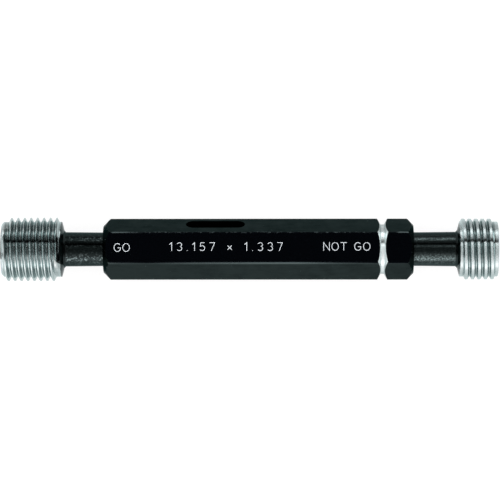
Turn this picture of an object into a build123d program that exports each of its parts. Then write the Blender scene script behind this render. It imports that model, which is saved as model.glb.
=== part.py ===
from build123d import *
from math import cos, radians, sin, tan
import os

# Double-ended GO / NOT GO thread plug gauge, in millimetres
# X is the gauge axis with the GO member at -X, +Z is the marked flat of the hexagon, and the
# origin is on the axis, half way between the two front faces

# Right-hand thread with 55 degrees between its flanks, the same pitch on both members
threads_per_inch = 19
thread_pitch = 25.4 / threads_per_inch
flank_angle = 27.5
ridge_root_overlap = 0.06

# GO member, with the full thread form: its crests and roots lie this far from the pitch line
go_major_diameter = 13.157
go_crest_height = 0.428
root_depth = 0.4405
go_ridge_start = 0.80
go_ridge_length = 10.96
go_ridge_angle = 45.0
go_land_end = 12.38
go_front_chamfer = 0.4
go_reach = 21.05
go_shank_depth = 18.5

# Lead-in ground across the start of the GO thread
lead_in_start = 1.6
lead_in_setback = 0.55
lead_in_angle = 15.0
lead_in_length = 4.0

# NOT GO member, larger on its pitch line, with a short thread whose crests are ground low
pitch_diameter_tolerance = 0.125
not_go_crest_height = 0.097
not_go_ridge_start = 0.89
not_go_ridge_length = 6.37
not_go_ridge_angle = 110.0
not_go_land_end = 7.89
not_go_front_chamfer = 0.12
not_go_reach = 17.43
not_go_shank_depth = 15.0

# Turned shape that both members share
rear_cone_angle = 15.0
neck_chamfer = 0.35
shank_diameter = 7.0
shank_taper = 50.0
centre_hole_diameter = 2.5
centre_hole_angle = 60.0

# Handle, one length of hexagon bar with a turned chamfer at each end
handle_length = 64.0
across_flats = 11.0
corner_radius = 0.2
marked_flat_relief = 0.1
chamfer_angle = 45.0
go_face_diameter = 9.8
not_go_face_diameter = 10.1
bore_clearance = 0.005
blind_bore_room = 2.0
plain_bore_at_slot = 0.05
drill_point_angle = 118.0

# Turned V groove that marks the NOT GO end
groove_from_face = 6.4
groove_diameter = 10.2
groove_floor_width = 0.7
groove_flank_angle = 30.0

# Drift slot milled right through the bar behind the GO shank, at an angle to the marked flat
slot_from_face = 17.05
slot_length = 12.2
slot_width = 3.15
slot_angle = 65.0

# Radii that follow from the major diameter
go_pitch_radius = go_major_diameter / 2 - go_crest_height
not_go_pitch_radius = go_pitch_radius + pitch_diameter_tolerance / 2
pilot_radius = go_pitch_radius - root_depth
root_radius = pilot_radius - ridge_root_overlap

# Places along the gauge axis
total_length = go_reach + handle_length + not_go_reach
go_front = -total_length / 2
not_go_front = total_length / 2
handle_go_face = go_front + go_reach
handle_not_go_face = not_go_front - not_go_reach

# A cutter's radius that clears the corners of the bar
outside_radius = across_flats


def shank_radius(depth):
    """Radius of the taper shank at a depth below the handle's end face, negative outside it."""
    return shank_diameter / 2 - depth / (2 * shank_taper)


def drill_point(radius):
    """Length of a twist drill's point."""
    return radius / tan(radians(drill_point_angle / 2))


def turned_member(land_end, front_chamfer, reach, shank_depth):
    """A gauge member without its thread, about Z, with its front face at z = 0."""
    centre_radius = centre_hole_diameter / 2
    centre_depth = centre_radius / tan(radians(centre_hole_angle / 2))
    neck_radius = shank_radius(land_end - reach)
    cone_end = land_end + (pilot_radius - neck_radius - neck_chamfer) * tan(radians(rear_cone_angle))
    neck_start = cone_end + neck_chamfer
    neck_point = (shank_radius(neck_start - reach), neck_start)
    shank_end = reach + shank_depth
    shank_point = (shank_radius(shank_depth), shank_end)
    with BuildPart() as member:
        with BuildSketch(Plane.XZ):
            with BuildLine():
                Polyline(
                    shank_point,
                    (0, shank_end),
                    (0, centre_depth),
                    (centre_radius, 0),
                    (pilot_radius - front_chamfer, 0),
                    (pilot_radius, front_chamfer),
                    (pilot_radius, land_end),
                    (neck_radius + neck_chamfer, cone_end),
                    neck_point,
                )
                Spline(neck_point, shank_point)
            make_face()
        revolve(axis=Axis.Z)
    return member.part


def ridge_section(pitch_radius, crest_height):
    """Four corners of a thread ridge's section, from its root up to its crest and back."""
    slope = tan(radians(flank_angle))
    root_width = thread_pitch / 4 + (pitch_radius - root_radius) * slope
    crest_width = thread_pitch / 4 - crest_height * slope
    crest_radius = pitch_radius + crest_height
    return [
        (root_radius, -root_width),
        (crest_radius, -crest_width),
        (crest_radius, crest_width),
        (root_radius, root_width),
    ]


def thread_ridge(section, start, angle, length):
    """One right-hand helical ridge about Z, from z = start at an angle from +X, for a length."""
    with BuildPart() as ridge:
        with BuildLine() as helix:
            Helix(thread_pitch, length, pilot_radius)
        with BuildSketch(Plane.XZ):
            with BuildLine():
                Polyline(*section, close=True)
            make_face()
        sweep(path=helix.wire(), is_frenet=True)
    return ridge.part.moved(Location((0, 0, start), (0, 0, angle)))


# GO member: the lead-in leaves no thin feather of thread at the front
go_section = ridge_section(go_pitch_radius, go_crest_height)
go_body = turned_member(go_land_end, go_front_chamfer, go_reach, go_shank_depth)

with BuildPart() as go_thread:
    add(thread_ridge(go_section, go_ridge_start, go_ridge_angle, go_ridge_length))
    with Locations(Location((lead_in_start, 0, lead_in_setback), (0, -lead_in_angle, 0))):
        Box(lead_in_length, outside_radius, thread_pitch,
            align=(Align.MIN, Align.MIN, Align.MAX), mode=Mode.SUBTRACT)

with BuildPart() as go_plug:
    with Locations(Plane(origin=(go_front, 0, 0), x_dir=(0, 1, 0), z_dir=(1, 0, 0))):
        add(go_body)
        add(go_thread.part)

# NOT GO member, turned end for end
not_go_section = ridge_section(not_go_pitch_radius, not_go_crest_height)
not_go_body = turned_member(not_go_land_end, not_go_front_chamfer, not_go_reach, not_go_shank_depth)
not_go_ridge = thread_ridge(not_go_section, not_go_ridge_start, not_go_ridge_angle, not_go_ridge_length)

with BuildPart() as not_go_plug:
    with Locations(Plane(origin=(not_go_front, 0, 0), x_dir=(0, 1, 0), z_dir=(-1, 0, 0))):
        add(not_go_body)
        add(not_go_ridge)


def chamfer_end(face_diameter):
    """Length of a turned chamfer that runs from an end face out past the corners."""
    return (outside_radius - face_diameter / 2) / tan(radians(chamfer_angle))


with BuildPart() as handle:
    # Hexagon bar with two corners at +Y and -Y
    with BuildSketch(Plane(origin=(handle_go_face, 0, 0), x_dir=(0, 1, 0), z_dir=(1, 0, 0))) as bar:
        RegularPolygon(across_flats / 2, 6, major_radius=False)
        fillet(bar.vertices(), corner_radius)
    extrude(amount=handle_length)

    # The marked flat is ground a little below the other five
    marked_flat_height = across_flats / 2 - marked_flat_relief
    with Locations((handle_go_face, 0, marked_flat_height)):
        Box(handle_length, across_flats, across_flats,
            align=(Align.MIN, Align.CENTER, Align.MIN), mode=Mode.SUBTRACT)

    # Turned chamfers at both ends
    with BuildSketch(Plane.XZ):
        with BuildLine():
            Polyline(
                (handle_go_face, 0),
                (handle_go_face, go_face_diameter / 2),
                (handle_go_face + chamfer_end(go_face_diameter), outside_radius),
                (handle_not_go_face - chamfer_end(not_go_face_diameter), outside_radius),
                (handle_not_go_face, not_go_face_diameter / 2),
                (handle_not_go_face, 0),
                close=True,
            )
        make_face()
    revolve(axis=Axis.X, mode=Mode.INTERSECT)

    # V groove with a narrow floor
    groove_depth = outside_radius - groove_diameter / 2
    groove_mouth_width = groove_floor_width + 2 * groove_depth * tan(radians(groove_flank_angle))
    groove_centre = handle_not_go_face - groove_from_face
    with BuildSketch(Plane.XZ):
        with BuildLine():
            Polyline(
                (groove_centre - groove_mouth_width / 2, outside_radius),
                (groove_centre - groove_floor_width / 2, groove_diameter / 2),
                (groove_centre + groove_floor_width / 2, groove_diameter / 2),
                (groove_centre + groove_mouth_width / 2, outside_radius),
                close=True,
            )
        make_face()
    revolve(axis=Axis.X, mode=Mode.SUBTRACT)

    # Taper bore for the GO shank, then plain as far as the middle of the drift slot
    go_ream_depth = slot_from_face - plain_bore_at_slot
    go_mouth_point = (handle_go_face, shank_radius(0) + bore_clearance)
    go_bore_radius = shank_radius(go_ream_depth) + bore_clearance
    go_reamed_point = (handle_go_face + go_ream_depth, go_bore_radius)
    go_drilled_end = handle_go_face + slot_from_face + slot_length / 2
    with BuildSketch(Plane.XZ):
        with BuildLine():
            Spline(go_mouth_point, go_reamed_point)
            Polyline(
                go_reamed_point,
                (go_drilled_end, go_bore_radius),
                (go_drilled_end + drill_point(go_bore_radius), 0),
                (handle_go_face, 0),
                go_mouth_point,
            )
        make_face()
    revolve(axis=Axis.X, mode=Mode.SUBTRACT)

    # Blind taper bore for the NOT GO shank
    not_go_ream_depth = not_go_shank_depth + blind_bore_room
    not_go_mouth_point = (handle_not_go_face, shank_radius(0) + bore_clearance)
    not_go_bore_radius = shank_radius(not_go_ream_depth) + bore_clearance
    not_go_reamed_point = (handle_not_go_face - not_go_ream_depth, not_go_bore_radius)
    with BuildSketch(Plane.XZ):
        with BuildLine():
            Spline(not_go_mouth_point, not_go_reamed_point)
            Polyline(
                not_go_reamed_point,
                (not_go_reamed_point[0] - drill_point(not_go_bore_radius), 0),
                (handle_not_go_face, 0),
                not_go_mouth_point,
            )
        make_face()
    revolve(axis=Axis.X, mode=Mode.SUBTRACT)

    # Drift slot, through the axis and out of both sides
    slot_centre = (handle_go_face + slot_from_face + slot_length / 2, 0, 0)
    slot_normal = (0, sin(radians(slot_angle)), cos(radians(slot_angle)))
    with BuildSketch(Plane(origin=slot_centre, x_dir=(1, 0, 0), z_dir=slot_normal)):
        SlotOverall(slot_length, slot_width)
    extrude(amount=outside_radius, both=True, mode=Mode.SUBTRACT)

os.makedirs("parts", exist_ok=True)

handle.part.label = "handle"
export_step(handle.part, "parts/handle.step")

go_plug.part.label = "go_plug"
export_step(go_plug.part, "parts/go_plug.step")

not_go_plug.part.label = "not_go_plug"
export_step(not_go_plug.part, "parts/not_go_plug.step")
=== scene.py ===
"""Looks and studio of a double-ended thread plug gauge.

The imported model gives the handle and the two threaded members, and their meshes stay as they are.
This file breaks the handle's sharp edges, gives each piece its finish, letters the marked flat,
and sets up the pale floor, the soft light and the camera. Lengths in the classes are in
millimetres and angles in degrees.
"""

import logging
import math
from dataclasses import dataclass
from enum import Enum
from functools import reduce
from typing import Dict, List, NamedTuple, Optional, Sequence, Tuple, Union

import bmesh
import bpy
from mathutils import Matrix, Vector


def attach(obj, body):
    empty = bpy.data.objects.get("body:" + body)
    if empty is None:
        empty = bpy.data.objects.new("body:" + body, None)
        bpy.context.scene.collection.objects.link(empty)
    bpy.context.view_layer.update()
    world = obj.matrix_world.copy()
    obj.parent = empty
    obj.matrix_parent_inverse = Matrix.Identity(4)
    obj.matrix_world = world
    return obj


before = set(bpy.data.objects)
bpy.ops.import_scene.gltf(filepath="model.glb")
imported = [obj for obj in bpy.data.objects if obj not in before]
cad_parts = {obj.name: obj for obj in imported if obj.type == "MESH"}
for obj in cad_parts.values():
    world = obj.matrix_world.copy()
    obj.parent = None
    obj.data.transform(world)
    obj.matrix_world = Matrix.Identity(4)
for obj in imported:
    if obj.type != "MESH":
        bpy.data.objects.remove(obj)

MM = 0.001
DEGREES = math.degrees(1.0)
THREAD_PITCH = 25.4 / 19
FULL_TURN = 360.0
FLAT_COSINE = math.cos(math.radians(60.0))
FLAT_SINE = math.sin(math.radians(60.0))
LOG = logging.getLogger("thread_plug_gauge")

# A profile is a line through pairs of a place and its result. A rise is where a mask is 0 and
# where it is 1. A band is where a mask opens, where it closes, and half its borders' softness
Colour = Tuple[float, float, float]
Point = Tuple[float, float]
Profile = Tuple[Point, ...]
Rise = Tuple[float, float]
Band = Tuple[float, float, float]
Socket = bpy.types.NodeSocket
Value = Union[float, Socket]
Paint = Union[Colour, Socket]

WHITE: Colour = (1.0, 1.0, 1.0)
NOWHERE: Profile = ((0.0, 0.0), (90.0, 0.0))


class Slot(Enum):
    """A material slot of the object."""

    BLACKENED = "blackened_steel"


class Turning(Enum):
    """Which way a gauge member's own length runs along the gauge axis."""

    GO = 1.0
    NOT_GO = -1.0


class Grain(NamedTuple):
    """Random grey: features to the millimetre, octaves of finer grain, and the share of those."""

    scale: float
    detail: float = 3.0
    rough: float = 0.55


class Relief(NamedTuple):
    """The height of a bump, and the share of it that shows."""

    height: float
    share: float


class Net:
    """The net of nodes of one material, of the world or of a modifier."""

    def __init__(self, tree: bpy.types.NodeTree) -> None:
        """Start on an emptied node tree.

        Args:
            tree: The node tree to fill.
        """
        self.tree = tree
        tree.nodes.clear()

    def node(self, kind: str, *values: object, **settings: object) -> bpy.types.Node:
        """Add one node.

        Args:
            kind: The node's type name.
            *values: Its first inputs, in order.
            **settings: Properties to set on it.

        Returns:
            The new node.
        """
        made = self.tree.nodes.new(kind)
        for name, value in settings.items():
            setattr(made, name, value)
        for socket, value in zip(made.inputs, values):
            self.feed(socket, value)
        return made

    def output(self, kind: str, *values: object, **settings: object) -> Socket:
        """Add one node in the same way and take its first output."""
        return self.node(kind, *values, **settings).outputs[0]

    def feed(self, socket: Socket, value: object) -> None:
        """Link a socket into an input, or set a plain value on it.

        Args:
            socket: The input socket.
            value: Another node's output, or a number or tuple.
        """
        if isinstance(value, Socket):
            self.tree.links.new(value, socket)
        else:
            socket.default_value = value

    def math(self, operation: str, *values: Value, clamp: bool = False) -> Socket:
        """Work out one number by the Math node's operation, between 0 and 1 where clamped."""
        return self.output("ShaderNodeMath", *values, operation=operation, use_clamp=clamp)

    def plus(self, first: Value, second: Value) -> Socket:
        """Add two numbers."""
        return self.math("ADD", first, second)

    def minus(self, first: Value, second: Value) -> Socket:
        """Take the second number from the first."""
        return self.math("SUBTRACT", first, second)

    def times(self, *values: Value) -> Socket:
        """Multiply numbers."""
        return reduce(lambda first, second: self.math("MULTIPLY", first, second), values)

    def largest(self, *values: Value) -> Socket:
        """Keep the largest of some numbers."""
        return reduce(lambda first, second: self.math("MAXIMUM", first, second), values)

    def step(self, value: Value, low: float, high: float) -> Socket:
        """Change smoothly from 0 at the low value to 1 at the high one, whichever is larger."""
        ends = (high, low, 1.0, 0.0) if high < low else (low, high, 0.0, 1.0)
        return self.output("ShaderNodeMapRange", value, *ends, interpolation_type="SMOOTHSTEP")

    def window(self, value: Value, low: float, high: float, soft: float) -> Socket:
        """Give 1 between two values and 0 outside them, with borders twice as wide as soft."""
        opened = self.step(value, low - soft, low + soft)
        return self.times(opened, self.step(value, high + soft, high - soft))

    def profile(self, value: Value, stops: Profile) -> Socket:
        """Look a number up on a line drawn through given points.

        Args:
            value: The number to look up.
            stops: Pairs of a value and its result, with the values rising.

        Returns:
            The result, level beyond both ends.
        """
        first, length = stops[0][0], stops[-1][0] - stops[0][0]
        share = self.math("DIVIDE", self.minus(value, first), length)
        made = self.node("ShaderNodeValToRGB", share)
        elements = made.color_ramp.elements
        for place, _ in stops[1:-1]:
            elements.new((place - first) / length)
        for element, (_, result) in zip(elements, stops):
            element.color = (result, result, result, 1.0)
        return made.outputs[0]

    def blend(self, factor: Value, low: Paint, high: Paint) -> Socket:
        """Mix two colours.

        Args:
            factor: 0 for the first colour, 1 for the second.
            low: The first colour.
            high: The second colour.

        Returns:
            The mixed colour.
        """
        made = self.node("ShaderNodeMix", factor, data_type="RGBA")
        for socket, colour in ((made.inputs[6], low), (made.inputs[7], high)):
            self.feed(socket, colour if isinstance(colour, Socket) else (*colour, 1.0))
        return made.outputs[2]

    def between(self, factor: Value, low: Value, high: Value) -> Socket:
        """Mix two numbers, from the first at a factor of 0 to the second at a factor of 1."""
        return self.plus(low, self.times(factor, self.minus(high, low)))

    def parts(self, vector: Socket) -> Tuple[Socket, ...]:
        """Split a vector into its x, y and z numbers."""
        return tuple(self.node("ShaderNodeSeparateXYZ", vector).outputs)

    def vector(self, x: Value, y: Value, z: Value) -> Socket:
        """Join three numbers into one vector."""
        return self.output("ShaderNodeCombineXYZ", x, y, z)

    def angle(self, y: Value, z: Value) -> Socket:
        """Measure the angle round the gauge axis, 0 towards +Z and rising towards +Y."""
        return self.times(self.math("ARCTAN2", y, z), DEGREES)

    def noise(self, place: Socket, grain: Grain) -> Socket:
        """Look smooth random grey, a number around 0.5, up at a place in millimetres."""
        unused_w = 0.0
        return self.output("ShaderNodeTexNoise", place, unused_w, *grain)

    def bump(self, height: Value, relief: Relief, under: Optional[Socket] = None) -> Socket:
        """Turn a height into a bent normal.

        Args:
            height: The height from 0 to 1.
            relief: What a height of 1 stands for.
            under: The normal of a coarser bump below it.

        Returns:
            The normal.
        """
        made = self.node("ShaderNodeBump")
        made.inputs["Strength"].default_value = relief.share
        made.inputs["Distance"].default_value = relief.height * MM
        self.feed(made.inputs["Height"], height)
        if under is not None:
            self.feed(made.inputs["Normal"], under)
        return made.outputs[0]

    def surface(self, **inputs: object) -> None:
        """End a material in one Principled shader.

        Args:
            **inputs: Its inputs, with underscores for the spaces in their names.
        """
        shader = self.node("ShaderNodeBsdfPrincipled")
        for name, value in inputs.items():
            self.feed(shader.inputs[name.replace("_", " ")], value)
        self.node("ShaderNodeOutputMaterial", shader.outputs[0])


class PieceNet(Net):
    """The net of a finish, with the shaded point's place and distance from the gauge axis."""

    def __init__(self, tree: bpy.types.NodeTree) -> None:
        """Start on an emptied node tree and find the point, in millimetres.

        Args:
            tree: The node tree to fill.
        """
        super().__init__(tree)
        place = self.parts(self.node("ShaderNodeTexCoord").outputs["Object"])
        self.x, self.y, self.z = (self.times(number, 1 / MM) for number in place)
        self.place = self.vector(self.x, self.y, self.z)
        squares = (self.times(number, number) for number in (self.y, self.z))
        self.radius = self.math("SQRT", self.plus(*squares))


def new_material(name: str) -> bpy.types.Material:
    """Make a node material.

    Args:
        name: Its name.

    Returns:
        The material.
    """
    material = bpy.data.materials.new(name)
    material.use_nodes = True
    return material


@dataclass(frozen=True)
class BareSteel:
    """Hardened steel as the grinding wheel or the tool left it. The dull colour serves both for
    stains and for painted shade, the deep shade colour only for painted shade, and the turned
    colour also for painted highlights.
    """

    bright: Colour = (0.58, 0.66, 0.665)
    flank: Colour = (0.43, 0.50, 0.50)
    dull_and_shade: Colour = (0.32, 0.39, 0.39)
    deep_shade: Colour = (0.10, 0.13, 0.13)
    turned: Colour = (0.84, 0.90, 0.90)
    edge_tint: Colour = (0.85, 0.92, 0.92)
    ring_shade: float = 0.88
    roughness: float = 0.23
    flank_roughness: float = 0.10
    turned_roughness: float = 0.28
    lay: float = 1.0


@dataclass(frozen=True)
class BlackOxide:
    """The thin blue-black skin that blackening leaves on steel. Its rubbed colour also serves for
    painted shade and a painted reflection, and its colour for rubbed-through edges also for
    painted highlights.
    """

    deep: Colour = (0.003, 0.0045, 0.0045)
    skin: Colour = (0.012, 0.0158, 0.0158)
    thin: Colour = (0.024, 0.0317, 0.0317)
    ground: Colour = (0.0080, 0.0113, 0.0180)
    # Rubbed skin of the necks, also used for painted shade and the painted dark-gap reflection on
    # bare steel.
    rubbed: Colour = (0.026, 0.037, 0.037)
    speckled: Colour = (0.20, 0.26, 0.26)
    # Colour of rubbed-through edges, also of the painted corner highlights.
    wear_and_painted_light: Colour = (0.14, 0.18, 0.18)
    edge_tint: Colour = (0.50, 0.54, 0.54)
    least_roughness: float = 0.26
    most_roughness: float = 0.36
    worn_roughness: float = 0.42
    flat_roughness: float = 0.1
    neck_roughness: float = 0.11


@dataclass(frozen=True)
class MarkingPaint:
    """White filler rubbed into the engraved marking."""

    white: Colour = (0.86, 0.92, 0.96)
    thin: Colour = (0.64, 0.70, 0.74)
    thinned: Rise = (0.42, 0.62)
    grain: Grain = Grain(7.0, 4.0)
    relief: Relief = Relief(0.01, 0.5)
    roughness: float = 0.6

    def material(self) -> bpy.types.Material:
        """Build the filler's material.

        Returns:
            The material.
        """
        material = new_material("marking_paint")
        net = PieceNet(material.node_tree)
        grain = net.noise(net.place, self.grain)
        net.surface(
            Base_Color=net.blend(net.step(grain, *self.thinned), self.white, self.thin),
            Roughness=self.roughness,
            Normal=net.bump(grain, self.relief),
        )
        return material


@dataclass(frozen=True)
class EdgeWork:
    """Even shading of round surfaces, and the small rounds that a stone leaves on sharp edges.

    One long corner, before a place along Y and above a height, may get a wider round.
    """

    broken: float = 0.0
    corner: float = 0.0
    corner_before: float = 0.0
    corner_above: float = 0.0
    segments: int = 2
    sharp_from: float = 25.0
    join_reach: float = 0.0004
    weight_name: str = "bevel_weight_edge"

    def on_corner(self, net: Net) -> Socket:
        """Find the edges of the long corner that gets the wider round."""
        _, y, z = net.parts(net.output("GeometryNodeInputPosition"))
        return net.times(
            net.math("LESS_THAN", y, self.corner_before * MM),
            net.math("GREATER_THAN", z, self.corner_above * MM),
        )

    def edge_marks(self) -> bpy.types.NodeTree:
        """Build the node group that marks the sharp edges and how far each is rounded.

        Returns:
            The geometry node group.
        """
        tree = bpy.data.node_groups.new("edge_marks", "GeometryNodeTree")
        for way in ("INPUT", "OUTPUT"):
            tree.interface.new_socket("Geometry", in_out=way, socket_type="NodeSocketGeometry")
        net = Net(tree)
        source = net.node("NodeGroupInput").outputs[0]
        result = net.node("NodeGroupOutput").inputs[0]
        fold = net.node("GeometryNodeInputMeshEdgeAngle").outputs["Unsigned Angle"]
        sharp = net.math("GREATER_THAN", fold, math.radians(self.sharp_from))
        marked = net.node("GeometryNodeSetMeshNormal", mode="SHARPNESS")
        marked.inputs["Remove Custom"].default_value = True
        net.feed(marked.inputs["Mesh"], source)
        net.feed(marked.inputs["Edge Sharpness"], sharp)
        if self.corner == 0.0:
            net.feed(result, marked.outputs[0])
            return tree
        narrow = self.broken / self.corner
        share = net.math("MULTIPLY_ADD", self.on_corner(net), 1.0 - narrow, narrow)
        stored = net.node("GeometryNodeStoreNamedAttribute", data_type="FLOAT", domain="EDGE")
        stored.inputs["Name"].default_value = self.weight_name
        net.feed(stored.inputs["Geometry"], marked.outputs[0])
        net.feed(stored.inputs["Value"], net.times(share, sharp))
        net.feed(result, stored.outputs[0])
        return tree

    def apply_to(self, piece: bpy.types.Object) -> None:
        """Shade a piece with modifiers, leaving its own mesh alone.

        Args:
            piece: The mesh object.
        """
        weld = piece.modifiers.new("joined_faces", "WELD")
        weld.merge_threshold = self.join_reach * MM
        piece.modifiers.new("edge_marks", "NODES").node_group = self.edge_marks()
        if self.corner > 0.0:
            bevel = piece.modifiers.new("broken_edges", "BEVEL")
            bevel.width = self.corner * MM
            bevel.segments = self.segments
            bevel.limit_method = "WEIGHT"
            bevel.edge_weight = self.weight_name
        even = piece.modifiers.new("even_normals", "WEIGHTED_NORMAL")
        even.mode = "FACE_AREA_WITH_ANGLE"
        even.keep_sharp = True


@dataclass(kw_only=True)
class SteelPiece:
    """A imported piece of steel, partly bare and partly blackened, that gets its finish here."""

    node: str
    steel: BareSteel = BareSteel()
    oxide: BlackOxide = BlackOxide()
    edges: EdgeWork = EdgeWork()

    def material(self) -> bpy.types.Material:
        """Build the piece's finish, each kind of piece in its own way."""
        raise NotImplementedError

    def dress(self) -> bpy.types.Object:
        """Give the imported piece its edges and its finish.

        Returns:
            The piece.
        """
        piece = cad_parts[self.node]
        self.edges.apply_to(piece)
        piece.data.materials.clear()
        piece.data.materials.append(self.material())
        return piece


@dataclass(kw_only=True)
class Handle(SteelPiece):
    """The hexagon bar with its marking groove and drift slot.

    Its marked flat faces +Z, between the upper side flat at +Y and the lower one at -Y. Scuffs
    are random grey that breaks the wear along its edges up. Its lower half is lightened with a
    painted sheen, and painted highlights lie over the wear along the marked flat's long corners.
    """

    node: str = "handle"
    go_face: float = -30.19
    not_go_face: float = 33.81
    go_face_radius: float = 4.9
    not_go_face_radius: float = 5.05
    marked_flat: float = 5.4
    flat_skin: Rise = (-0.02, -0.005)
    chamfer_skin: Rise = (0.08, 0.03)
    edges: EdgeWork = EdgeWork(broken=0.04, corner=0.15, corner_before=-2.9, corner_above=5.3)

    groove_centre: float = 27.41
    groove_floor_radius: float = 5.1
    groove_floor_half: float = 0.35
    groove_flank_slope: float = math.tan(math.radians(30.0))
    groove_wall: Rise = (0.09, 0.03)
    groove_lip: Rise = (5.38, 5.24)
    ring_grain: Grain = Grain(14.0, 3.0, 0.7)
    ring_tones: Rise = (0.3, 0.7)
    ring_relief: Relief = Relief(0.03, 0.9)

    drawn_grain: Grain = Grain(5.0, 4.0, 0.6)
    drawn_along: float = 0.05
    drawn_relief: Relief = Relief(0.004, 0.35)
    cloud_grain: Grain = Grain(0.35, 4.0, 0.6)
    speck_grain: Grain = Grain(2.6, 2.0, 0.5)
    specks: Rise = (0.735, 0.76)
    speck_share: float = 0.6
    thin_skin: Rise = (0.36, 0.66)
    dull_skin: Rise = (0.3, 0.7)
    lower_half: Rise = (0.5, -0.5)
    lower_painted_sheen: Profile = ((-30.0, 0.55), (-20.0, 0.42), (0.0, 0.34), (18.0, 0.26), (32.0, 0.1))

    scuff_grain: Grain = Grain(3.2, 5.0, 0.65)
    scuff_along: float = 0.4
    outer_corners: Rise = (6.16, 6.24)
    outer_corner_height: Rise = (4.6, 4.2)
    outer_corner_scuffs: Rise = (0.44, 0.62)
    outer_corner_share: float = 0.55
    lower_corner_across: Rise = (-2.9, -3.1)
    lower_corner_height: Rise = (5.0, 5.3)
    lower_corner_rub_and_highlight: Profile = (
        (-30.0, 0.4), (-27.0, 0.25), (-21.0, 0.12), (-12.0, 0.4), (2.0, 0.6),
        (10.0, 0.65), (18.0, 0.3), (28.0, 0.08), (34.0, 0.05),
    )
    upper_corner_across: Rise = (2.95, 3.08)
    upper_corner_height: Band = (5.34, 5.45, 0.03)
    upper_corner_wear_and_highlight: Profile = (
        (-28.6, 0.0), (-28.0, 0.6), (-25.5, 0.5), (-23.0, 0.15), (-10.0, 0.05),
        (30.0, 0.1), (30.8, 0.6), (32.8, 0.6), (33.4, 0.0),
    )
    upper_corner_scuffs: Rise = (0.50, 0.60)
    upper_corner_run: Band = (-27.0, 25.0, 1.0)
    upper_corner_share: float = 0.4
    arc_width: Rise = (0.1, 0.03)
    arc_height: Rise = (5.34, 5.42)
    arc_scuffs: Rise = (0.56, 0.7)

    def side_heights(self, net: PieceNet) -> Tuple[Socket, Socket]:
        """Measure how high the point stands towards the upper and the lower side flat."""
        ahead, aside = net.times(net.z, FLAT_COSINE), net.times(net.y, FLAT_SINE)
        return net.plus(ahead, aside), net.minus(ahead, aside)

    def groove_mask(self, net: PieceNet) -> Socket:
        """Find the freshly turned walls of the marking groove.

        The walls keep their skin along the lip in the lower side flat.

        Args:
            net: The finish's net.

        Returns:
            1 on the groove's walls and 0 elsewhere.
        """
        along = net.math("ABSOLUTE", net.minus(net.x, self.groove_centre))
        beyond = net.minus(along, self.groove_floor_half)
        climb = net.math("DIVIDE", beyond, self.groove_flank_slope)
        wall = net.plus(net.largest(climb, 0.0), self.groove_floor_radius)
        walls = net.step(net.minus(wall, net.radius), *self.groove_wall)
        _, lower = self.side_heights(net)
        return net.times(walls, net.step(lower, *self.groove_lip))

    def chamfer_gap(self, net: PieceNet) -> Socket:
        """Measure how far the point lies from the nearer end chamfer's cone.

        Args:
            net: The finish's net.

        Returns:
            The distance, 0 on the cone.
        """
        gaps = []
        for face, face_radius, turning in (
            (self.go_face, self.go_face_radius, Turning.GO),
            (self.not_go_face, self.not_go_face_radius, Turning.NOT_GO),
        ):
            depth = net.times(net.minus(net.x, face), turning.value)
            gap = net.minus(net.radius, net.plus(depth, face_radius))
            gaps.append(net.math("ABSOLUTE", gap))
        return net.math("MINIMUM", *gaps)

    def wear_and_highlight_mask(self, net: PieceNet, scuff: Socket) -> Socket:
        """Find where the skin is rubbed through along the corners and the end chamfers' arcs, with
        painted highlights over the wear along the marked flat's two long corners.

        Args:
            net: The finish's net.
            scuff: Random grey that breaks the wear up.

        Returns:
            0 on sound skin up to 1 on rubbed edges and painted highlights.
        """
        outer = net.times(
            net.step(net.radius, *self.outer_corners),
            net.step(scuff, *self.outer_corner_scuffs),
            net.step(net.z, *self.outer_corner_height),
            self.outer_corner_share,
        )
        # Rubbed edge and painted highlight along the lower long corner, set by the place along the
        # bar.
        lower = net.times(
            net.step(net.y, *self.lower_corner_across),
            net.step(net.z, *self.lower_corner_height),
            net.profile(net.x, self.lower_corner_rub_and_highlight),
        )
        # Wear and painted highlight along the upper long corner: patches at both ends and a broken
        # line between.
        broken = net.times(
            net.step(scuff, *self.upper_corner_scuffs),
            net.window(net.x, *self.upper_corner_run),
            self.upper_corner_share,
        )
        upper = net.times(
            net.largest(net.profile(net.x, self.upper_corner_wear_and_highlight), broken),
            net.window(net.z, *self.upper_corner_height),
            net.step(net.y, *self.upper_corner_across),
        )
        heights = (net.z, *self.side_heights(net))
        highest = net.largest(*(net.math("ABSOLUTE", height) for height in heights))
        arcs = net.times(
            net.step(self.chamfer_gap(net), *self.arc_width),
            net.step(highest, *self.arc_height),
            net.step(scuff, *self.arc_scuffs),
        )
        return net.largest(outer, lower, upper, arcs)

    def material(self) -> bpy.types.Material:
        """Build the blackened drawn bar with its bare groove.

        Returns:
            The material.
        """
        material = new_material("blackened_bar")
        net = PieceNet(material.node_tree)
        x, y, z = net.x, net.y, net.z
        stretched = net.vector(net.times(x, self.drawn_along), y, z)
        drawn = net.noise(stretched, self.drawn_grain)
        cloud = net.noise(net.place, self.cloud_grain)
        stretched = net.vector(net.times(x, self.scuff_along), y, z)
        scuff = net.noise(stretched, self.scuff_grain)
        speck = net.step(net.noise(net.place, self.speck_grain), *self.specks)
        bare = self.groove_mask(net)
        wear_and_painted_light = self.wear_and_highlight_mask(net, scuff)
        turned_end = net.step(self.chamfer_gap(net), *self.chamfer_skin)
        ground = net.step(net.minus(z, self.marked_flat), *self.flat_skin)

        uneven = net.plus(net.times(drawn, 0.5), net.times(cloud, 0.5))
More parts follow.
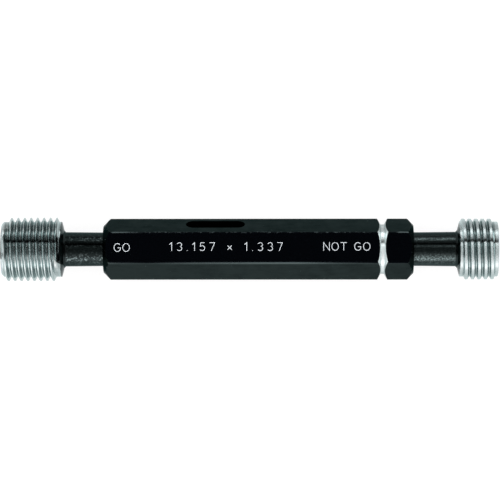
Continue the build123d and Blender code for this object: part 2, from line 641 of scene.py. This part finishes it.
        # Painted sheen: the lower half of the bar is lightened, most at the GO end, where its lower
        # flats catch the light.
        painted_sheen = net.times(net.step(y, *self.lower_half), net.profile(x, self.lower_painted_sheen))
        thinned = net.math("ADD", net.step(uneven, *self.thin_skin), painted_sheen, clamp=True)
        skin = net.blend(thinned, self.oxide.skin, self.oxide.thin)
        skin = net.blend(ground, skin, self.oxide.ground)
        skin = net.blend(turned_end, skin, self.oxide.deep)
        # Rubbed-through edges, specks and the painted corner highlights take the lighter oxide
        # colour.
        marred_and_highlit = net.largest(wear_and_painted_light, net.times(speck, self.speck_share))
        skin = net.blend(marred_and_highlit, skin, self.oxide.wear_and_painted_light)
        rings = net.noise(net.vector(x, net.radius, 0.0), self.ring_grain)
        ringed = net.step(rings, *self.ring_tones)
        turned = net.blend(ringed, self.steel.turned, self.steel.bright)

        dull = net.step(uneven, *self.dull_skin)
        rough = net.between(dull, self.oxide.least_roughness, self.oxide.most_roughness)
        smooth = net.largest(ground, turned_end)
        rough = net.between(smooth, rough, self.oxide.flat_roughness)
        rough = net.between(wear_and_painted_light, rough, self.oxide.worn_roughness)
        coarse = net.bump(drawn, self.drawn_relief)
        net.surface(
            Base_Color=net.blend(bare, skin, turned),
            Metallic=1.0,
            Roughness=net.between(bare, rough, self.steel.turned_roughness),
            Normal=net.bump(net.times(rings, bare), self.ring_relief, coarse),
            Specular_Tint=(*self.oxide.edge_tint, 1.0),
            Anisotropic=self.steel.lay,
            Tangent=net.vector(1.0, 0.0, 0.0),
        )
        return material


class MemberNet(PieceNet):
    """The net of a gauge member's finish, which knows where the shaded point lies.

    Its depth runs back from the member's front face. Its turn is its angle round the gauge axis,
    0 on top and rising towards the back. Its side is its place across the thread's ridge as a
    share of the pitch, 0 on the middle of the crest and rising towards +X. Threaded, crest and
    flank are 1 on the thread, on its crests and on its flanks, and 0 elsewhere.
    """

    def __init__(self, tree: bpy.types.NodeTree, member: "GaugeMember") -> None:
        """Start on an emptied node tree and find the point.

        Args:
            tree: The node tree to fill.
            member: The member.
        """
        super().__init__(tree)
        self.depth = self.times(self.minus(self.x, member.front), member.turning.value)
        self.turn = self.angle(self.y, self.z)
        self.advance = self.times(self.turn, THREAD_PITCH / FULL_TURN)
        helix = self.minus(self.plus(self.x, self.advance), member.crest_middle)
        share = self.math("DIVIDE", helix, THREAD_PITCH)
        self.side = self.minus(self.math("FRACT", self.plus(share, 0.5)), 0.5)
        self.threaded = self.window(self.depth, *member.thread_run)
        high = self.step(self.minus(self.radius, member.crest_radius), *member.crest_edge)
        self.crest = self.times(high, self.threaded)
        self.flank = self.times(self.minus(1.0, high), self.threaded)


@dataclass(kw_only=True)
class GaugeMember(SteelPiece):
    """One threaded member: bare ground thread in front, blackened cone and neck behind.

    Its painted shades, painted highlight lines, painted reflection of the light's dark gap and
    the neck's rubs with their painted sheen are profiles by the turn, and its sides are bands
    across the thread's ridge.
    """

    turning: Turning
    front: float
    land_end: float
    crest_radius: float
    thread_run: Band
    crest_middle: float
    crest_edge: Rise = (-0.1, -0.04)

    ring_grain: Grain = Grain(16.0, 3.0, 0.7)
    ring_tones: Rise = (0.25, 0.75)
    ring_relief: Relief = Relief(0.02, 0.8)
    cloud_grain: Grain = Grain(0.9, 4.0, 0.6)
    cloud_gloss: float = 0.08
    stain_grain: Grain = Grain(2.6, 4.0, 0.6)
    stains: Rise = (0.42, 0.66)
    shaded_crest_side: Rise
    shaded_crest_turns: Band = (-24.0, 50.0, 5.0)
    shaded_crest_share: float = 0.9
    flank_smooth: float = 0.7
    flank_shade: Profile = (
        (-80.0, 0.3), (-58.0, 0.3), (-42.0, 0.0), (30.0, 0.0), (42.0, 0.4), (80.0, 0.5),
    )
    crest_shade: Profile = ((-80.0, 0.5), (-60.0, 0.5), (-45.0, 0.0), (60.0, 0.0), (75.0, 0.3))

    painted_seam_reflection: Profile
    root_painted_highlight: Profile
    root_side: Band = (0.22, 0.46, 0.05)
    lit_line: Profile = NOWHERE
    lit_side: Band = (-0.22, -0.05, 0.04)
    lower_painted_highlight: Profile = NOWHERE
    lower_side: Band = (-0.5, -0.27, 0.04)
    shaded_line: Profile = NOWHERE
    shaded_sides: Tuple[Band, Band] = ((-0.03, 0.20, 0.04), (-0.6, -0.27, 0.04))

    skin_grain: Grain = Grain(1.2)
    skin_waver: float = 0.3
    skin_edge: Rise
    neck_start: Rise = (0.75, 1.1)
    neck_grain: Grain
    neck_bare: Rise
    neck_wear_and_sheen: float
    neck_painted_shade: Profile
    neck_rub_and_sheen: Profile = (
        (-66.0, 0.3), (-50.0, 0.4), (-45.0, 1.0), (-28.0, 1.0), (-20.0, 0.5),
        (-9.0, 0.15), (1.0, 0.25), (7.0, 0.7), (13.0, 0.2), (24.0, 0.4),
        (29.0, 1.0), (37.0, 1.0), (42.0, 0.25), (60.0, 0.15),
    )
    pit_grain: Grain = Grain(5.0, 3.0, 0.6)
    pit_relief: Relief = Relief(0.03, 0.5)
    lay_outward: float = 0.05

    def skin_mask(self, net: MemberNet, waver: Socket) -> Socket:
        """Find where the black skin was left on, its edge wavering forward by so much."""
        behind = net.minus(net.depth, self.land_end)
        return net.step(net.plus(behind, waver), *self.skin_edge)

    def darken_bare(self, net: MemberNet, bare: Socket) -> Socket:
        """Darken the bare steel, mostly with painted shade, each member in its own places."""
        raise NotImplementedError

    def bare_colour(self, net: MemberNet, rings: Socket) -> Socket:
        """Colour the ground steel, its thread flanks and its stains.

        Args:
            net: The finish's net.
            rings: Fine grinding rings.

        Returns:
            The colour.
        """
        shaded = tuple(self.steel.ring_shade * part for part in self.steel.bright)
        crest = net.blend(net.step(rings, *self.ring_tones), self.steel.bright, shaded)
        # Painted shade on one side of the crests, which narrows their highlights.
        wear_and_painted_light = net.times(
            net.step(net.side, *self.shaded_crest_side),
            net.window(net.turn, *self.shaded_crest_turns),
            net.crest,
            self.shaded_crest_share,
        )
        crest = net.blend(wear_and_painted_light, crest, self.steel.deep_shade)
        # Painted shade on the crests and the flanks, by the turn.
        crest = net.blend(net.profile(net.turn, self.crest_shade), crest, self.steel.dull_and_shade)
        stains = net.step(net.noise(net.place, self.stain_grain), *self.stains)
        flank = net.blend(stains, self.steel.flank, self.steel.dull_and_shade)
        flank = net.blend(net.profile(net.turn, self.flank_shade), flank, self.steel.deep_shade)
        return self.darken_bare(net, net.blend(net.flank, crest, flank))

    def thread_lines(self, net: MemberNet, colour: Socket) -> Socket:
        """Paint narrow highlight and shade lines along the thread, and the dark gap's reflection on
        the crests.

        Args:
            net: The finish's net.
            colour: Colour of the bare steel.

        Returns:
            The colour with its lines.
        """
        light = []
        for line, side in (
            (self.root_painted_highlight, self.root_side),
            (self.lit_line, self.lit_side),
            (self.lower_painted_highlight, self.lower_side),
        ):
            strength = net.profile(net.turn, line)
            light.append(net.times(strength, net.window(net.side, *side)))
        sides = net.largest(*(net.window(net.side, *side) for side in self.shaded_sides))
        shaded = net.times(net.profile(net.turn, self.shaded_line), sides)
        # Painted highlights, painted shade, and the light's dark gap painted as a reflection across
        # the crests.
        painted_seam_reflection = net.times(net.profile(net.turn, self.painted_seam_reflection), net.crest)
        colour = net.blend(net.largest(*light), colour, self.steel.turned)
        colour = net.blend(shaded, colour, self.steel.deep_shade)
        return net.blend(painted_seam_reflection, colour, self.oxide.rubbed)

    def skin_colour(self, net: MemberNet) -> Socket:
        """Colour the blackened cone and the rubbed neck, with painted shade and painted sheen on
        the neck by the turn.

        Args:
            net: The finish's net.

        Returns:
            The colour.
        """
        neck = net.step(net.minus(net.depth, self.land_end), *self.neck_start)
        bare = net.step(net.noise(net.place, self.neck_grain), *self.neck_bare)
        # Rubbed specks, strongest at the turns where the neck catches the light: rub and painted
        # sheen.
        wear = net.times(bare, net.profile(net.turn, self.neck_rub_and_sheen))
        # Painted shade on the neck, by the turn.
        dark = net.profile(net.turn, self.neck_painted_shade)
        rubbed = net.blend(dark, self.oxide.rubbed, self.oxide.deep)
        rubbed = net.blend(net.times(wear, self.neck_wear_and_sheen), rubbed, self.oxide.speckled)
        return net.blend(neck, self.oxide.thin, rubbed)

    def material(self) -> bpy.types.Material:
        """Build the member's ground and blackened finish.

        Returns:
            The material.
        """
        material = new_material(f"{self.node}_finish")
        net = MemberNet(material.node_tree, self)
        waver = net.times(net.noise(net.place, self.skin_grain), self.skin_waver)
        black = self.skin_mask(net, waver)
        rings = net.noise(net.vector(net.depth, net.radius, 0.0), self.ring_grain)
        bright = self.bare_colour(net, rings)
        bright = net.blend(net.threaded, bright, self.thread_lines(net, bright))

        rough = net.between(net.flank, self.steel.roughness, self.steel.flank_roughness)
        cloud = net.minus(net.noise(net.place, self.cloud_grain), 0.5)
        rough = net.plus(rough, net.times(cloud, self.cloud_gloss))
        smooth = net.largest(black, net.times(net.flank, self.flank_smooth))
        ground = net.bump(net.times(rings, net.minus(1.0, smooth)), self.ring_relief)
        pits = net.times(net.noise(net.place, self.pit_grain), black)
        outward = [net.times(value, self.lay_outward) for value in (net.y, net.z)]
        net.surface(
            Base_Color=net.blend(black, bright, self.skin_colour(net)),
            Metallic=1.0,
            Roughness=net.between(black, rough, self.oxide.neck_roughness),
            Normal=net.bump(pits, self.pit_relief, ground),
            Specular_Tint=net.blend(black, self.steel.edge_tint, self.oxide.edge_tint),
            Anisotropic=self.steel.lay,
            Tangent=net.vector(1.0, *outward),
        )
        return material


@dataclass(kw_only=True)
class GoMember(GaugeMember):
    """The GO member, with the whole thread form and the start of its thread ground away."""

    node: str = "go_plug"
    turning: Turning = Turning.GO
    front: float = -51.24
    land_end: float = 12.38
    crest_radius: float = 6.5785
    thread_run: Band = (0.65, 11.85, 0.15)
    crest_middle: float = -50.273
    shaded_crest_side: Rise = (-0.06, -0.02)

    painted_seam_reflection: Profile = (
        (-15.0, 0.0), (-5.0, 0.1), (5.0, 0.4), (10.0, 0.85), (15.0, 1.0),
        (21.0, 0.85), (27.0, 0.4), (38.0, 0.3), (46.0, 0.0),
    )
    root_painted_highlight: Profile = (
        (-30.0, 0.15), (-20.0, 0.7), (-8.0, 0.7), (7.0, 0.8), (12.0, 1.0),
        (20.0, 1.0), (26.0, 1.0), (36.0, 0.6), (55.0, 0.1),
    )
    lit_line: Profile = (
        (-60.0, 0.0), (-50.0, 0.2), (-20.0, 0.2), (-3.0, 0.6), (10.0, 0.2),
        (22.0, 0.2), (33.0, 1.0), (56.0, 1.0), (64.0, 0.0),
    )
    lower_painted_highlight: Profile = ((-48.0, 0.0), (-38.0, 0.5), (-18.0, 0.5), (-13.0, 0.2), (-9.0, 0.0))
    shaded_line: Profile = (
        (-20.0, 0.0), (-10.0, 0.6), (0.0, 0.85), (12.0, 0.9),
        (22.0, 0.8), (33.0, 0.5), (50.0, 0.35), (60.0, 0.0),
    )

    skin_edge: Rise = (-0.02, 0.16)
    skin_forward: float = 0.72
    forward_turns: Band = (-33.5, 20.0, 3.0)
    bare_ring: Band = (-0.44, -0.25, 0.04)
    bare_ring_turns: Band = (-12.0, 24.0, 3.0)
    neck_grain: Grain = Grain(2.3, 5.0, 0.7)
    neck_bare: Rise = (0.52, 0.62)
    neck_wear_and_sheen: float = 0.75
    neck_painted_shade: Profile = (
        (-60.0, 0.2), (-27.0, 0.2), (-20.0, 0.0), (2.0, 0.0), (5.0, 0.8), (12.0, 0.8),
        (16.0, 0.2), (27.0, 0.2), (31.0, 0.6), (42.0, 0.6), (48.0, 0.1),
    )

    land_depth: Rise = (-0.2, 0.0)
    land_share: float = 0.55
    rear_depth: Rise = (-1.35, -1.05)
    rear_turns: Band = (-46.0, -26.0, 6.0)
    rear_share: float = 0.72
    start_advance: Band = (0.68, 1.22, 0.07)
    start_turns: Band = (-19.0, 40.0, 5.0)
    start_share: float = 0.93
    chamfer_depth: Rise = (0.38, 0.30)
    chamfer_shade: Profile = (
        (-26.0, 0.0), (-23.0, 0.95), (-11.0, 0.95), (-7.0, 0.6),
        (10.0, 0.5), (40.0, 0.2), (60.0, 0.0),
    )
    spot_depth: Band = (0.52, 0.72, 0.05)
    spot_turns: Band = (-18.0, -10.0, 2.0)

    def skin_mask(self, net: MemberNet, waver: Socket) -> Socket:
        """Find the black skin, which runs further forward on top, with one bare ring there.

        Args:
            net: The finish's net.
            waver: How far the skin's edge runs forward.

        Returns:
            1 on the skin and 0 on bare steel.
        """
        forward = net.times(net.window(net.turn, *self.forward_turns), self.skin_forward)
        skin = super().skin_mask(net, net.plus(waver, forward))
        ring = net.times(
            net.window(net.minus(net.depth, self.land_end), *self.bare_ring),
            net.window(net.turn, *self.bare_ring_turns),
        )
        return net.math("SUBTRACT", skin, ring, clamp=True)

    def darken_bare(self, net: MemberNet, bare: Socket) -> Socket:
        """Darken the land, and paint shade into the thread's last turn and ground-away start, the
        front chamfer and a spot behind it.

        Args:
            net: The finish's net.
            bare: Colour of the clean steel.

        Returns:
            The colour with its darkening and painted shade.
        """
        past = net.minus(net.depth, self.thread_run[1])
        land = net.times(net.step(past, *self.land_depth), self.land_share)
        bare = net.blend(land, bare, self.steel.dull_and_shade)
        # Painted shade on the lower side of the last turn and the land behind it.
        rear = net.times(
            net.step(past, *self.rear_depth),
            net.window(net.turn, *self.rear_turns),
            self.rear_share,
        )
        bare = net.blend(rear, bare, self.steel.deep_shade)

        # Painted shade on the ground-away start of the thread, the front chamfer and a spot behind
        # it.
        start = net.times(
            net.window(net.plus(net.depth, net.advance), *self.start_advance),
            net.window(net.turn, *self.start_turns),
            self.start_share,
        )
        chamfer = net.times(
            net.step(net.depth, *self.chamfer_depth),
            net.profile(net.turn, self.chamfer_shade),
        )
        spot = net.times(
            net.window(net.depth, *self.spot_depth),
            net.window(net.turn, *self.spot_turns),
        )
        return net.blend(net.largest(start, chamfer, spot), bare, self.oxide.rubbed)


@dataclass(kw_only=True)
class NotGoMember(GaugeMember):
    """The NOT GO member, with its short thread whose crests are ground low."""

    node: str = "not_go_plug"
    turning: Turning = Turning.NOT_GO
    front: float = 51.24
    land_end: float = 7.89
    crest_radius: float = 6.31
    thread_run: Band = (0.75, 7.45, 0.15)
    crest_middle: float = 51.093
    shaded_crest_side: Rise = (0.11, 0.15)

    painted_seam_reflection: Profile = ((9.5, 0.0), (12.0, 0.6), (15.0, 0.6), (18.0, 0.0))
    root_painted_highlight: Profile = ((8.0, 0.0), (12.0, 0.5), (20.0, 0.5), (25.0, 0.0))

    skin_edge: Rise = (0.12, 0.30)
    neck_grain: Grain = Grain(3.6, 5.0, 0.7)
    neck_bare: Rise = (0.42, 0.62)
    neck_wear_and_sheen: float = 0.72
    neck_painted_shade: Profile = (
        (-60.0, 0.2), (-53.0, 0.5), (-47.0, 0.5), (-43.0, 0.0),
        (36.0, 0.0), (41.0, 0.6), (50.0, 0.4), (70.0, 0.2),
    )

    last_root: Band = (-0.34, -0.06, 0.05)
    last_root_turns: Band = (-20.0, 13.0, 4.0)
    last_root_share: float = 0.9

    def darken_bare(self, net: MemberNet, bare: Socket) -> Socket:
        """Paint shade into the root of the thread's last turn.

        Args:
            net: The finish's net.
            bare: Colour of the clean steel.

        Returns:
            The colour with its stain.
        """
        past = net.minus(net.minus(net.depth, net.advance), self.thread_run[1])
        # Painted shade in the root of the last turn.
        root = net.times(
            net.window(past, *self.last_root),
            net.window(net.turn, *self.last_root_turns),
            self.last_root_share,
        )
        return net.blend(root, bare, self.oxide.rubbed)


def arc(centre: Point, radii: Point, start: float, end: float, steps: int) -> List[Point]:
    """Points along part of an ellipse.

    Args:
        centre: Its centre.
        radii: Its half width and half height.
        start: First angle, from +X towards +Y.
        end: Last angle.
        steps: Number of straight runs.

    Returns:
        The points in order.
    """
    (x, y), (half_width, half_height) = centre, radii
    angles = [math.radians(start + (end - start) * i / steps) for i in range(steps + 1)]
    return [(x + half_width * math.cos(a), y + half_height * math.sin(a)) for a in angles]


# Each letter is drawn with a round cutter, one unit high from its foot line: its width and its
# single strokes. Half the width and height of the large bowl are also the place of its centre
BOWL: Point = (0.42, 0.5)
LETTERS: Dict[str, Tuple[float, List[List[Point]]]] = {
    "G": (0.82, [arc(BOWL, BOWL, 48.0, 330.0, 24) + [(0.80, 0.46), (0.46, 0.46)]]),
    "O": (0.84, [arc(BOWL, BOWL, 90.0, 450.0, 28)]),
    "N": (0.74, [[(0.0, 0.0), (0.0, 1.0), (0.74, 0.0), (0.74, 1.0)]]),
    "T": (0.74, [[(0.0, 1.0), (0.74, 1.0)], [(0.37, 1.0), (0.37, 0.0)]]),
    "1": (0.30, [[(0.0, 0.78), (0.26, 1.0), (0.26, 0.0)]]),
    "3": (
        0.62,
        [
            [(0.04, 0.86), *arc((0.32, 0.75), (0.27, 0.25), 130.0, -75.0, 14)],
            arc((0.31, 0.27), (0.31, 0.27), 75.0, -140.0, 16),
        ],
    ),
    "5": (
        0.62,
        [
            [
                (0.56, 1.0), (0.12, 1.0), (0.06, 0.55),
                *arc((0.30, 0.31), (0.32, 0.31), 118.0, -140.0, 18),
            ],
        ],
    ),
    "7": (0.62, [[(0.0, 1.0), (0.62, 1.0), (0.22, 0.0)]]),
    ".": (0.10, [[(0.05, 0.0), (0.05, 0.03)]]),
    "x": (0.50, [[(0.0, 0.12), (0.50, 0.62)], [(0.0, 0.62), (0.50, 0.12)]]),
    " ": (0.40, []),
}


@dataclass(frozen=True)
class Word:
    """One engraved word on the marked flat."""

    name: str
    text: str
    left: float
    right: float
    foot: float
    height: float


@dataclass
class Marking:
    """The engraved and white-filled words on the marked flat."""

    flat: float
    words: Tuple[Word, ...] = (
        Word("go_marking", "GO", left=-27.84, right=-24.57, foot=-0.79, height=1.64),
        Word("size_marking", "13.157 x 1.337", left=-16.43, right=6.84, foot=-0.62, height=1.63),
        Word("not_go_marking", "NOT GO", left=15.18, right=24.80, foot=-0.58, height=1.60),
    )
    stroke: float = 0.115
    proud: float = 0.008
    sunk: float = 0.01
    end_steps: int = 6
    least_mitre: float = 0.35
    paint: MarkingPaint = MarkingPaint()

    def stroke_outline(self, run: Sequence[Point]) -> List[Point]:
        """Widen one stroke into a closed outline with round ends.

        Args:
            run: The stroke's points.

        Returns:
            The outline's points in order.
        """
        half = self.stroke / 2
        ways = [(Vector(b) - Vector(a)).normalized() for a, b in zip(run, run[1:])]
        left: List[Point] = []
        right: List[Point] = []
        for place, point in enumerate(run):
            before = ways[max(place - 1, 0)]
            after = ways[min(place, len(ways) - 1)]
            side = (before + after).normalized()
            reach = half / max(side.dot(before), self.least_mitre)
            left.append((point[0] - side.y * reach, point[1] + side.x * reach))
            right.append((point[0] + side.y * reach, point[1] - side.x * reach))
        first, last = (math.degrees(math.atan2(way.y, way.x)) for way in (ways[0], ways[-1]))
        round_end = (half, half)
        nose = arc(run[-1], round_end, last + 90.0, last - 90.0, self.end_steps)[1:-1]
        tail = arc(run[0], round_end, first - 90.0, first - 270.0, self.end_steps)[1:-1]
        return left + nose + right[::-1] + tail

    def add_stroke(self, mesh: bmesh.types.BMesh, run: Sequence[Point]) -> None:
        """Add one stroke's filler as a thin solid strip.

        Args:
            mesh: The word's mesh.
            run: The stroke's points on the flat.
        """
        outline = self.stroke_outline(run)
        top, foot = (
            [mesh.verts.new((x * MM, y * MM, height * MM)) for x, y in outline]
            for height in (self.flat + self.proud, self.flat - self.sunk)
        )
        count, total = len(run), len(outline)
        nose_end = count + self.end_steps - 1
        for ring, flip in ((top, False), (foot, True)):
            left, nose = ring[:count], ring[count:nose_end]
            right, tail = ring[nose_end : nose_end + count][::-1], ring[nose_end + count :]
            for after in range(1, count):
                corners = [left[after - 1], right[after - 1], right[after], left[after]]
                mesh.faces.new(corners[::-1] if flip else corners)
            for cap in ([left[-1], *nose, right[-1]], [right[0], *tail, left[0]]):
                mesh.faces.new(cap if flip else cap[::-1])
        for here in range(total):
            after = (here + 1) % total
            mesh.faces.new((top[here], top[after], foot[after], foot[here]))

    def build_word(self, word: Word) -> bpy.types.Object:
        """Lay one word out between its ends and build its strips.

        Args:
            word: The word.

        Returns:
            The new piece.
        """
        mesh = bmesh.new()
        widths = [LETTERS[letter][0] * word.height for letter in word.text]
        spare = (word.right - word.left - self.stroke) - sum(widths)
        gap = spare / (len(word.text) - 1)
        pen = word.left + self.stroke / 2
        for letter, width in zip(word.text, widths):
            for run in LETTERS[letter][1]:
                placed = [(pen + x * word.height, word.foot + y * word.height) for x, y in run]
                self.add_stroke(mesh, placed)
            pen += width + gap
        bmesh.ops.recalc_face_normals(mesh, faces=mesh.faces)
        data = bpy.data.meshes.new(word.name)
        mesh.to_mesh(data)
        mesh.free()
        piece = bpy.data.objects.new(word.name, data)
        bpy.context.scene.collection.objects.link(piece)
        return piece

    def build(self) -> List[bpy.types.Object]:
        """Build every word and let it ride on the gauge.

        Returns:
            The words' pieces.
        """
        paint = self.paint.material()
        pieces = []
        for word in self.words:
            piece = self.build_word(word)
            piece.data.materials.append(paint)
            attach(piece, "root")
            pieces.append(piece)
        return pieces


@dataclass
class Studio:
    """Pale floor, soft light from a tent with a dark gap overhead, and the camera.

    The light's profiles give its level by the angle across the gauge, 0 overhead and rising
    towards +Y: one overhead, and one further along the gauge, out to the ends of the tent.
    """

    floor_height: float = -6.5785
    floor_size: float = 4000.0
    floor_grey: Colour = (0.8, 0.8, 0.8)
    floor_seen_grey: Colour = (0.3, 0.3, 0.3)
    floor_glow: float = 0.80
    floor_glow_behind: float = 0.25
    floor_behind: Rise = (4.0, 30.0)

    camera_place: Tuple[float, float, float] = (6.4, -35.27, 573.9)
    camera_target: Tuple[float, float, float] = (0.07, -0.17, 0.0)
    lens: float = 199.9
    sensor_width: float = 36.0
    nearest: float = 10.0
    farthest: float = 20000.0

    overhead_light: Profile = (
        (-95.0, 0.7), (-86.0, 1.6), (-78.0, 1.95), (-69.0, 1.75), (-61.0, 1.3),
        (-53.0, 0.85), (-46.0, 0.65), (-39.0, 0.52), (-32.0, 0.32), (-18.0, 0.12),
        (4.0, 0.08), (9.0, 0.18), (15.0, 0.40), (20.0, 0.30), (24.0, 0.14),
        (26.5, 0.01), (34.0, 0.01), (38.0, 0.05), (52.0, 0.15), (60.0, 0.45),
        (68.0, 1.15), (77.0, 0.55), (85.0, 0.36), (94.0, 0.36), (98.0, 0.2),
    )
    side_light: Profile = (
        (-90.0, 1.0), (-84.0, 1.5), (-75.0, 1.9), (-41.0, 1.7), (-28.0, 1.5),
        (-15.0, 1.6), (0.0, 1.6), (12.0, 1.9), (18.0, 2.5), (24.6, 2.4),
        (25.8, 0.01), (35.0, 0.01), (37.0, 0.6), (43.0, 0.95), (50.0, 1.6),
        (57.0, 2.1), (66.0, 3.0), (78.0, 2.8), (90.0, 1.6),
    )
    overhead_edge: Rise = (11.0, 17.0)
    tent_edge: Rise = (58.0, 68.0)
    tent_end_share: float = 0.3
    warm_side: Colour = (1.045, 1.0, 1.0)
    warm_from: Rise = (-20.0, -40.0)

    def light(self) -> None:
        """Light the scene from the world alone, by angle across the gauge and along it."""
        world = bpy.data.worlds.new("light_tent")
        bpy.context.scene.world = world
        world.use_nodes = True
        net = Net(world.node_tree)
        x, y, z = net.parts(net.node("ShaderNodeTexCoord").outputs["Generated"])
        across = net.angle(y, z)
        along = net.times(net.math("ARCSINE", net.math("ABSOLUTE", x)), DEGREES)

        overhead = net.profile(across, self.overhead_light)
        beside = net.profile(across, self.side_light)
        level = net.between(net.step(along, *self.overhead_edge), overhead, beside)
        ended = net.times(level, self.tent_end_share)
        level = net.between(net.step(along, *self.tent_edge), level, ended)

        seen = net.node("ShaderNodeLightPath").outputs["Is Camera Ray"]
        colour = net.blend(net.step(across, *self.warm_from), WHITE, self.warm_side)
        colour = net.blend(seen, colour, WHITE)
        strength = net.between(seen, level, 1.0)
        background = net.output("ShaderNodeBackground", colour, strength)
        net.node("ShaderNodeOutputWorld", background)

    def floor_material(self) -> bpy.types.Material:
        """Build the floor's finish, white to the eye and keeping the gauge's soft shadow.

        Returns:
            The material.
        """
        material = new_material("pale_floor")
        net = PieceNet(material.node_tree)
        paths = net.node("ShaderNodeLightPath").outputs
        rays = ("Is Camera Ray", "Is Glossy Ray", "Is Transmission Ray")
        seen = net.largest(*(paths[ray] for ray in rays))
        grey = net.blend(seen, self.floor_grey, self.floor_seen_grey)
        diffuse = net.output("ShaderNodeBsdfDiffuse", grey)
        # Painted shadow: in reflections the floor glows less behind the gauge, as if the gauge
        # shaded it.
        behind = net.step(net.y, *self.floor_behind)
        behind = net.times(behind, paths["Is Glossy Ray"])
        level = net.between(behind, self.floor_glow, self.floor_glow_behind)
        glow = net.node("ShaderNodeEmission")
        net.feed(glow.inputs["Strength"], net.times(seen, level))
        both = net.output("ShaderNodeAddShader", diffuse, glow.outputs[0])
        net.node("ShaderNodeOutputMaterial", both)
        return material

    def floor(self) -> None:
        """Lay the pale floor under the gauge."""
        half = self.floor_size / 2 * MM
        height = self.floor_height * MM
        corners = [(x * half, y * half, height) for x, y in ((-1, -1), (1, -1), (1, 1), (-1, 1))]
        data = bpy.data.meshes.new("floor")
        data.from_pydata(corners, [], [(0, 1, 2, 3)])
        data.materials.append(self.floor_material())
        floor = bpy.data.objects.new("floor", data)
        bpy.context.scene.collection.objects.link(floor)

    def camera(self) -> None:
        """Hang the camera almost straight above the gauge."""
        data = bpy.data.cameras.new("camera")
        data.lens = self.lens
        data.sensor_width = self.sensor_width
        data.clip_start = self.nearest * MM
        data.clip_end = self.farthest * MM
        camera = bpy.data.objects.new("camera", data)
        place = Vector(self.camera_place) * MM
        back = (place - Vector(self.camera_target) * MM).normalized()
        right = Vector((0.0, 1.0, 0.0)).cross(back).normalized()
        turn = Matrix((right, back.cross(right), back)).transposed()
        camera.matrix_world = Matrix.Translation(place) @ turn.to_4x4()
        bpy.context.scene.collection.objects.link(camera)
        bpy.context.scene.camera = camera

    def set_up(self) -> None:
        """Light the scene, lay the floor and place the camera."""
        bpy.context.scene.view_settings.view_transform = "Standard"
        self.light()
        self.floor()
        self.camera()


def report(piece: bpy.types.Object) -> None:
    """Tell that a piece is done."""
    LOG.info("%s: %d faces", piece.name, len(piece.data.polygons))


def main() -> None:
    """Dress the gauge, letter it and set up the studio."""
    logging.basicConfig(level=logging.INFO, format="%(name)s: %(message)s")
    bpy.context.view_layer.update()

    handle = Handle()
    for part in (GoMember(), NotGoMember(), handle):
        report(part.dress())
    for piece in Marking(handle.marked_flat).build():
        report(piece)

    Studio().set_up()


if __name__ == "__main__":
    main()
